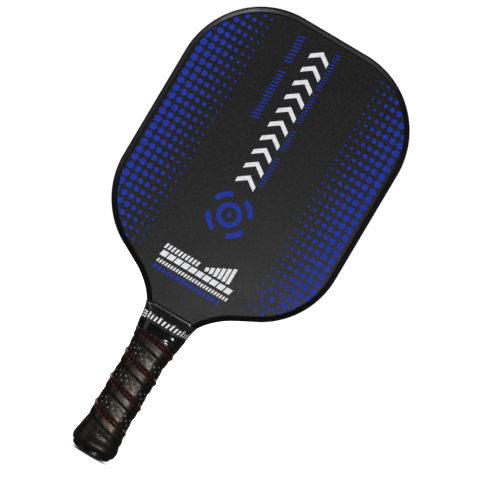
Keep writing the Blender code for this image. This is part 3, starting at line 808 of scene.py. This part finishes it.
# Creases in the tape: place and height of the middle, slope, half length, half breadth and height.
TAPE_CREASES = (
    (12.2, 116.5, -0.6, 6.5, 1.75, 0.50),
    (4.8, 114.1, 0.16, 2.3, 0.8, 0.2),
    (-9.0, 116.2, 0.12, 5.0, 0.9, 0.04),
    (19.0, 113.4, -0.5, 3.2, 0.8, 0.04),
)
TAPE_TOP = 120.15 * MM
# Distance of the tape's outside from the handle, by height.
TAPE_HEIGHTS = np.array([107.5, 112.0, 119.4, 119.9, 120.15]) * MM
TAPE_AT_SIDES = np.array([2.6, 2.65, 2.75, 2.7, 2.55]) * MM
TAPE_AT_FRONT = np.array([3.5, 3.6, 2.6, 2.55, 2.5]) * MM


def make_tape(material):
    """Vinyl tape stretched over the grip's end; it creases where the girth changes."""
    count, rows = 360, 40
    places = np.arange(count) / count * GIRTH
    edge = tape_edge(places)[None]
    share = np.linspace(0.0, 1.0, rows)
    z = edge + (TAPE_TOP - edge) * share[:, None]
    spread = np.repeat(places[None], rows, 0)
    from_edge = z - edge
    over = np.interp(z, TAPE_HEIGHTS, TAPE_AT_SIDES)
    over += (np.interp(z, TAPE_HEIGHTS, TAPE_AT_FRONT) - over) * facing(spread)
    crease = np.zeros_like(z)
    place = signed_place(spread)
    for middle, height, slope, length, breadth, rise in TAPE_CREASES:
        dx, dz = place - middle * MM, z - height * MM
        run, off = dx + slope * dz, dz - slope * dx
        crease += rise * MM * np.exp(-((run / (length * MM)) ** 2) - (off / (breadth * MM)) ** 2)
    wrinkle = 0.004 * MM * ripple(spread / (8 * MM), z / (2.4 * MM), 33)
    layer = 0.012 * MM * smooth_step(np.sin((z + 0.10 * place) / (4.4 * MM) * 2 * math.pi), -0.15, 0.15)
    lip = 0.3 * MM * (1 - smooth_step(from_edge, 0.0, 0.35 * MM))
    ends = smooth_step(from_edge, 0.0, 1.2 * MM) * smooth_step(TAPE_TOP - z, 0.0, 1.0 * MM)
    outer = around(spread, z, over + ends * (crease + wrinkle + layer) - lip)
    under = np.minimum(over - 0.45 * MM, 2.75 * MM)
    inner = around(spread[::-8], z[::-8], under[::-8])
    rings = [*outer.reshape(-1, count, 3), *inner.reshape(-1, count, 3)]
    stacked("tape_wrap", rings, material, ["finishing_tape"], True, 35)


# Printed design

PRINT_TOP = 0.04 * MM
PRINT_SUNK = 0.02 * MM
LIP_INSIDE = 2.4 * MM
# Columns of dots: distance from the middle, and the dots' diameter.
DOT_COLUMNS = ((92.0, 6.2), (84.6, 5.6), (78.0, 4.9), (71.6, 4.2), (65.4, 3.4), (59.0, 2.6), (52.9, 1.9))
DOT_ROW_PITCH = 7.37 * MM
DOT_SIDES = ((-1, 171.6 * MM, 0.0), (1, 172.7 * MM, -1.0 * MM))  # side, lowest row and shift
DOT_ROWS = 30
DOT_CORNERS = 28
SEAL_X, SEAL_Z = 65.0, 187.0
SEAL_CLEARANCE = 12.0 * MM
TARGET_X, TARGET_Z = -1.0, 229.0


def bar(x, z, width, height, slant=0.0, lean=0.0):
    """A parallelogram about (x, z); slant moves its top edge right, and lean lifts its right edge."""
    corners = []
    for i, k in ((-1, -1), (1, -1), (1, 1), (-1, 1)):
        corners.append((i * width / 2 + k * slant / 2, k * height / 2 + i * lean / 2))
    return (np.array(corners) + (x, z)) * MM


def chevron(x, z, half_width, drop, thickness):
    under = [(-half_width, -drop), (0, 0), (half_width, -drop)]
    over = [(side, height + thickness) for side, height in under[::-1]]
    return (np.array(under + over) + (x, z)) * MM


def arc_band(x, z, inner, outer, start, stop, steps=20):
    angle = np.radians(np.linspace(start, stop, steps))
    circle = np.stack([np.cos(angle), np.sin(angle)], -1)
    return (np.vstack([circle * outer, circle[::-1] * inner]) + (x, z)) * MM


def halftone_dots():
    """Discs that shrink from the guard towards the middle, cut off beneath the guard's lip."""
    turn = np.arange(DOT_CORNERS) / DOT_CORNERS * 2 * math.pi
    circle = np.stack([np.cos(turn), np.sin(turn)], -1)
    centres, radii = [], []
    for side, lowest, shift in DOT_SIDES:
        for column, diameter in DOT_COLUMNS:
            for row in range(DOT_ROWS):
                centres.append((side * column * MM + shift, lowest + row * DOT_ROW_PITCH))
                radii.append(diameter / 2 * MM)
    centres, radii = np.array(centres), np.array(radii)
    from_seal = np.linalg.norm(centres - np.array([SEAL_X, SEAL_Z]) * MM, axis=1)
    kept = (inset_of(centres) > LIP_INSIDE + 0.2 * MM) & (from_seal > SEAL_CLEARANCE)
    centres, radii = centres[kept], radii[kept]
    low, high = np.full((len(radii), len(turn)), 0.05), np.ones((len(radii), len(turn)))
    for _ in range(9):
        middle = (low + high) / 2
        points = centres[:, None] + (middle * radii[:, None])[..., None] * circle
        inside = (inset_of(points.reshape(-1, 2)) > LIP_INSIDE).reshape(middle.shape)
        low, high = np.where(inside, middle, low), np.where(inside, high, middle)
    rims = centres[:, None] + radii[:, None, None] * circle
    whole = (inset_of(rims.reshape(-1, 2)) > LIP_INSIDE).reshape(low.shape)
    reach = np.where(whole, 1.0, low) * radii[:, None]
    return list(centres[:, None] + reach[..., None] * circle)


def hatch(x, start, stop, pitch, width, thickness, lean, gaps):
    """A row of leaning strokes up the face, with breaks."""
    heights = np.arange(start, stop, pitch)
    kept = [z for z in heights if not any(low < z < high for low, high in gaps)]
    return [bar(x, z, width, thickness, lean=lean) for z in kept]


def blue_marks():
    """Two hatched lines, a target with a broken ring, a row of bars, and a seal of short arcs."""
    marks = hatch(-24.0, 309.5, 386.5, 3.3, 6.0, 1.25, 1.6, ((355, 361),))
    marks += hatch(9.4, 262.5, 387.5, 2.9, 4.2, 1.0, 1.1, ((291, 295), (317, 321), (351, 355)))
    for start in (20, 110, 200, 290):
        marks.append(arc_band(TARGET_X, TARGET_Z, 15.3, 19.6, start, start + 50, 14))
    marks += [arc_band(TARGET_X, TARGET_Z, 6.6, 10.6, start, start + 180) for start in (0, 180)]
    marks.append(bar(TARGET_X, TARGET_Z, 3.6, 3.6))
    marks += [bar(x, 161.9, 2.6, 3.6, 1.0) for x in np.arange(-32.5, 31.5, 4.3)]
    for start in range(0, 360, 30):
        marks.append(arc_band(SEAL_X, SEAL_Z, 7.2, 9.4, start, start + 17, 5))
    diamond = np.array([(0.0, -3.1), (3.1, 0.0), (0.0, 3.1), (-3.1, 0.0)])
    marks.append((diamond + (SEAL_X, SEAL_Z)) * MM)
    return marks


def white_marks():
    """Chevrons up the middle; below them three rows of bars, and six steps that rise to the right."""
    marks = [chevron(-2.6, 261.5 + 13.1 * row, 8.6, 6.2, 4.4) for row in range(10)]
    marks += [bar(x, 174.5, 5.6, 4.9, 1.4) for x in np.arange(-30.6, 31.0, 6.75)]
    marks += [bar(x, 167.6, 1.5, 3.2, 0.9) for x in np.arange(-32.6, 32.5, 2.6)]
    marks += [bar(x, 181.0, 1.9, 4.6, 1.2) for x in np.arange(-32.2, -1.0, 3.3)]
    for step in range(6):
        height = 3.6 + 2.1 * step
        marks.append(bar(6.2 + 4.1 * step, 179.2 + height / 2, 3.0, height, lean=1.0))
    return marks


def printed(name, polygons, side, material):
    """Ink on one face; side is -1 for the front and +1 for the back, which has the same design."""
    points, faces = [], []
    for polygon in polygons:
        count, start = len(polygon), len(points)
        for depth in (FACE_PLANE - PRINT_SUNK, FACE_PLANE + PRINT_TOP):
            points += [(-side * x, side * depth, z) for x, z in polygon]
        faces.append([start + i for i in range(count)])
        faces.append([start + count + i for i in range(count)][::-1])
        for i in range(count):
            k = (i + 1) % count
            faces.append([start + i, start + k, start + count + k, start + count + i])
    return piece(name, points, faces, material)


def collar_marks(material):
    """Short slanting bars and small blocks printed round the collar."""
    lift, sink = 0.05 * MM, 0.12 * MM
    marks = [(x, z, 2.5, 1.4, 0.0) for x in (-18.4, -15.1) for z in (122.2, 124.4, 126.6)]
    for number in range(13):
        taller = 1.4 if number % 3 == 0 else 0.0
        marks.append((-11.4 + 2.6 * number, 124.6 + taller / 2, 1.2, 4.1 + taller, 0.8))
    points, faces = [], []
    across, up = 5, 7
    for turn in (0.0, 0.5):
        for x, z, width, height, slant in marks:
            u, v = np.meshgrid(np.linspace(-0.5, 0.5, across), np.linspace(-0.5, 0.5, up))
            place = (x + u * width + v * slant) * MM + turn * GIRTH
            level = (z + v * height) * MM
            surface = GAP + collar_thickness(level, place) + collar_wrinkle(place % GIRTH, level)
            start = len(points)
            points += around(place, level, surface + lift).tolist()
            points += around(place, level, surface - sink).tolist()
            size = across * up
            sheet = grid_faces(up, across)
            faces += [[start + i for i in quad] for quad in sheet]
            faces += [[start + size + i for i in quad[::-1]] for quad in sheet]
            rim = list(range(across)) + list(range(2 * across - 1, size, across))
            rim += list(range(size - 2, size - across - 1, -1)) + list(range(size - 2 * across, 0, -across))
            for a, b in zip(rim, rim[1:] + rim[:1]):
                faces.append([start + a, start + b, start + size + b, start + size + a])
    return piece("collar_print", points, faces, material, smooth_angle=50)


# Stage

CAMERA_TARGET = Vector((17.19 * MM, -FACE_PLANE, 215.8 * MM))
CAMERA_UP = Vector((-0.5105, 0.0, 0.8599))
VIEW_DISTANCE = 2.5
VIEW_WIDTH = 395.3 * MM
SENSOR_WIDTH = 36.0


FLOOR_RADIUS = 8
FLOOR_HEIGHT = -0.2 * MM
FLOOR_CORNERS = 96
SURROUNDINGS = 0.07  # strength of the white that lights the object from all round
BACKDROP = 1.05  # strength of the white that the camera sees


def make_camera():
    data = bpy.data.cameras.new("camera")
    data.sensor_width = SENSOR_WIDTH
    data.lens = SENSOR_WIDTH * VIEW_DISTANCE / VIEW_WIDTH
    data.clip_end = 50.0
    camera = link("camera", data)
    back = Vector((0.0, -1.0, 0.0))
    right = CAMERA_UP.cross(back).normalized()
    up = back.cross(right)
    rotation = Matrix((right, up, back)).transposed().to_4x4()
    camera.matrix_world = Matrix.Translation(CAMERA_TARGET + back * VIEW_DISTANCE) @ rotation
    bpy.context.scene.camera = camera


def softbox(name, place, aim, size, power):
    data = bpy.data.lights.new(name, "AREA")
    data.shape = "RECTANGLE"
    data.size, data.size_y = size
    data.energy = power
    light = link(name, data)
    light.location = place
    light.rotation_euler = (Vector(aim) - Vector(place)).to_track_quat("-Z", "Y").to_euler()
    light.visible_camera = False
    return light


def only_on(light, name, objects):
    """Makes a light fall on these objects alone."""
    receivers = bpy.data.collections.new(name)
    for obj in objects:
        receivers.objects.link(obj)
    light.light_linking.receiver_collection = receivers


def make_lights(printed_pieces):
    """Soft boxes round the paddle. Some of them fall on some pieces only."""
    middle = (0.0, 0.0, 0.2)
    solid_pieces = [obj for obj in bpy.data.objects if obj.type == "MESH"]
    head_names = ("guard_strip", "collar_sleeve", "front_face_sheet", "back_face_sheet")
    head = [obj for obj in solid_pieces if obj.name in head_names]
    front_low = softbox("front_low", (0.155, -0.70, 0.06), (0.0, 0.0, 0.12), (0.10, 0.10), 1.6)
    only_on(front_low, "not_the_guard", [obj for obj in solid_pieces if obj.name != "guard_strip"])
    front_top = softbox("front_top", (0.10, -1.20, 1.15), middle, (0.4, 0.4), 0.85)
    only_on(front_top, "head_from_top", head)
    key = softbox("key_top_left", (-0.46, -1.16, 0.85), middle, (0.35, 0.35), 2.6)
    only_on(key, "head_from_left", head)
    softbox("front_left", (-1.10, -1.10, 0.40), middle, (0.8, 0.9), 1.5)
    softbox("front_right", (1.10, -1.10, 0.35), middle, (0.8, 0.9), 0.45)
    softbox("back_left", (-0.9, 1.1, 0.9), middle, (0.7, 0.7), 6.0)
    softbox("back_right", (0.45, 1.45, 0.8), middle, (0.7, 0.7), 6.0)
    for side in (-1, 1):
        light = softbox(f"print_{side + 1}", (0.9 * side, 1.1 * side, 1.0), middle, (0.6, 0.6), 18.2)
        only_on(light, f"printed_{side + 1}", printed_pieces)


def make_world():
    """Dim even surroundings for the object, and plain white behind it."""
    world = bpy.data.worlds.new("studio")
    bpy.context.scene.world = world
    world.use_nodes = True
    tree = world.node_tree
    dim, white = tree.nodes["Background"], tree.nodes.new("ShaderNodeBackground")
    for node, strength in ((dim, SURROUNDINGS), (white, BACKDROP)):
        node.inputs["Color"].default_value = (1.0, 1.0, 1.0, 1.0)
        node.inputs["Strength"].default_value = strength
    seen = tree.nodes.new("ShaderNodeLightPath").outputs["Is Camera Ray"]
    mix = tree.nodes.new("ShaderNodeMixShader")
    tree.links.new(seen, mix.inputs[0])
    tree.links.new(dim.outputs[0], mix.inputs[1])
    tree.links.new(white.outputs[0], mix.inputs[2])
    tree.links.new(mix.outputs[0], tree.nodes["World Output"].inputs["Surface"])


def make_floor():
    """A plain white floor, lit from above by its own broad light so that it stays clean."""
    mesh = bpy.data.meshes.new("floor")
    turns = np.arange(FLOOR_CORNERS) / FLOOR_CORNERS * 2 * math.pi
    rim = [(FLOOR_RADIUS * math.cos(a), FLOOR_RADIUS * math.sin(a), FLOOR_HEIGHT) for a in turns]
    mesh.from_pydata(rim, [], [list(range(FLOOR_CORNERS))])
    floor = link("floor", mesh)
    look = Look("floor_white", roughness=1.0, Specular_IOR_Level=0.0)
    look.colour((0.9, 0.9, 0.9, 1.0))
    mesh.materials.append(look.material)
    floor.visible_diffuse = False
    floor.visible_glossy = False
    data = bpy.data.lights.new("floor_light", "SUN")
    data.energy = 6.5
    data.angle = math.radians(150.0)
    sun = link("floor_light", data)
    only_on(sun, "floor_only", [floor])


# Build

face = face_look()
ink_white = print_look("print_white", (0.88, 0.88, 0.90), (0.76, 0.76, 0.78), 0.5)
ink_blue = print_look("print_blue", (0.003, 0.026, 0.38), (0.002, 0.020, 0.31), 0.55)
core = hidden_look("core_polypropylene", (0.80, 0.83, 0.83), (0.66, 0.70, 0.71), 240.0, 0.04 * MM, 0.45)
scrim = hidden_look("scrim_nonwoven", (0.86, 0.85, 0.82), (0.60, 0.59, 0.56), 900.0, 0.08 * MM, 0.85,
                    (1.0, 1.0, 0.2))
scale = hidden_look("scale_foam", (0.58, 0.49, 0.34), (0.40, 0.32, 0.20), 700.0, 0.12 * MM, 0.8)
staple = hidden_look("staple_steel", (0.66, 0.66, 0.64), (0.42, 0.42, 0.41), 1800.0, 0.01 * MM, 0.3,
                     (6.0, 1.0, 1.0), Metallic=1.0)
bead = hidden_look("bead_foam", (0.06, 0.06, 0.06), (0.03, 0.03, 0.03), 1500.0, 0.05 * MM, 0.9)
kept_nodes = {"honeycomb_core": core, "grip_bead": bead}
for end in ("front", "back"):
    kept_nodes[end + "_face_sheet"] = face
    kept_nodes[end + "_core_scrim"] = scrim
    kept_nodes[end + "_handle_scale"] = scale
    kept_nodes[end + "_cap_staple"] = staple
for node_name, node_material in kept_nodes.items():
    data = nodes[node_name].data
    data.materials.clear()
    data.materials.append(node_material)

make_guard(moulded_look("guard_plastic", (95.0, 8.0, 0.55, 0.72), (0.0065, 0.0065, 0.0066),
                        (0.0125, 0.0122, 0.0120), 160.0, (0.24, 0.30), 2600.0, 0.01 * MM))
make_grip(grip_look())
lit_pieces = make_stitches(thread_look())
make_cap(moulded_look("cap_plastic", (240.0, 7.0, 0.56, 0.70), (0.0045, 0.0045, 0.0046),
                      (0.0100, 0.0098, 0.0096), 320.0, (0.15, 0.22), 1400.0, 0.008 * MM))
make_collar(vinyl_look("collar_vinyl", 0.23, 0.02 * MM, 0.8, 0.016))
make_tape(vinyl_look("tape_vinyl", 0.12, 0.008 * MM, 0.5, 0.0078))
lit_pieces.append(collar_marks(ink_white))
dots, blues, whites = halftone_dots(), blue_marks(), white_marks()
for face_name, side in (("front", -1), ("back", 1)):
    lit_pieces.append(printed(face_name + "_dots", dots, side, ink_blue))
    lit_pieces.append(printed(face_name + "_blue_marks", blues, side, ink_blue))
    lit_pieces.append(printed(face_name + "_white_marks", whites, side, ink_white))

bpy.context.scene.view_settings.view_transform = "Standard"
make_camera()
make_lights(lit_pieces)
make_world()
make_floor()
